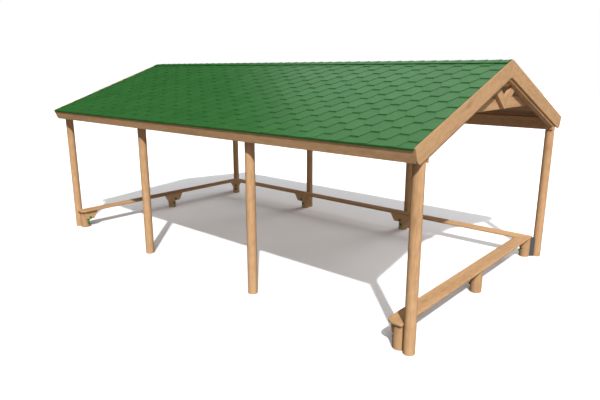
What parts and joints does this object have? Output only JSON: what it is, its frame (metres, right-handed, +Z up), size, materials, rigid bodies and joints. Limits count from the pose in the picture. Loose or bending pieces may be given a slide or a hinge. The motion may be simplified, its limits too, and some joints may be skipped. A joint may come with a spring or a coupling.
{
  "type": "garden shelter",
  "caption": "Open garden shelter with round timber posts, a gabled green shingle roof and a low bench round three sides.",
  "frame": {"origin": "on the ground under the middle of the roof", "axes": "+X along the ridge, +Y to the closed back bench, so the open front faces -Y, +Z up"},
  "size_m": [7.078, 4.358, 2.931],
  "materials": {
    "round_wood": "smooth turned softwood, lightly oiled",
    "frame_wood": "planed softwood",
    "roof_board": "planed softwood boards",
    "trim_wood": "planed softwood boards with eased edges",
    "bench_wood": "planed softwood with rounded edges",
    "shingle": "matt mineral-faced bitumen shingle",
    "packing": "matt grey plastic"
  },
  "bodies": {
    "root": {"front_post_1": "round_wood", "front_post_2": "round_wood", "front_post_3": "round_wood", "front_post_4": "round_wood", "back_post_1": "round_wood", "back_post_2": "round_wood", "back_post_3": "round_wood", "back_post_4": "round_wood", "front_wall_plate": "frame_wood", "back_wall_plate": "frame_wood", "front_rafters": "frame_wood", "back_rafters": "frame_wood", "collar_ties": "frame_wood", "front_struts": "frame_wood", "back_struts": "frame_wood", "apex_gussets": "frame_wood", "front_roof_boards": "roof_board", "back_roof_boards": "roof_board", "front_shingles": "shingle", "back_shingles": "shingle", "ridge_capping": "shingle", "left_front_bargeboard": "trim_wood", "left_back_bargeboard": "trim_wood", "right_front_bargeboard": "trim_wood", "right_back_bargeboard": "trim_wood", "front_fascia": "trim_wood", "back_fascia": "trim_wood", "left_seat": "bench_wood", "back_seat": "bench_wood", "right_seat": "bench_wood", "left_bench_post_front": "round_wood", "left_bench_post_middle": "round_wood", "left_bench_post_corner": "round_wood", "back_bench_post_left": "round_wood", "back_bench_post_right": "round_wood", "right_bench_post_corner": "round_wood", "right_bench_post_middle": "round_wood", "right_bench_post_front": "round_wood", "left_seat_brackets": "bench_wood", "back_seat_brackets": "bench_wood", "right_seat_brackets": "bench_wood", "corner_seat_brackets": "bench_wood", "corner_packings": "packing"}
  },
  "joints": []
}
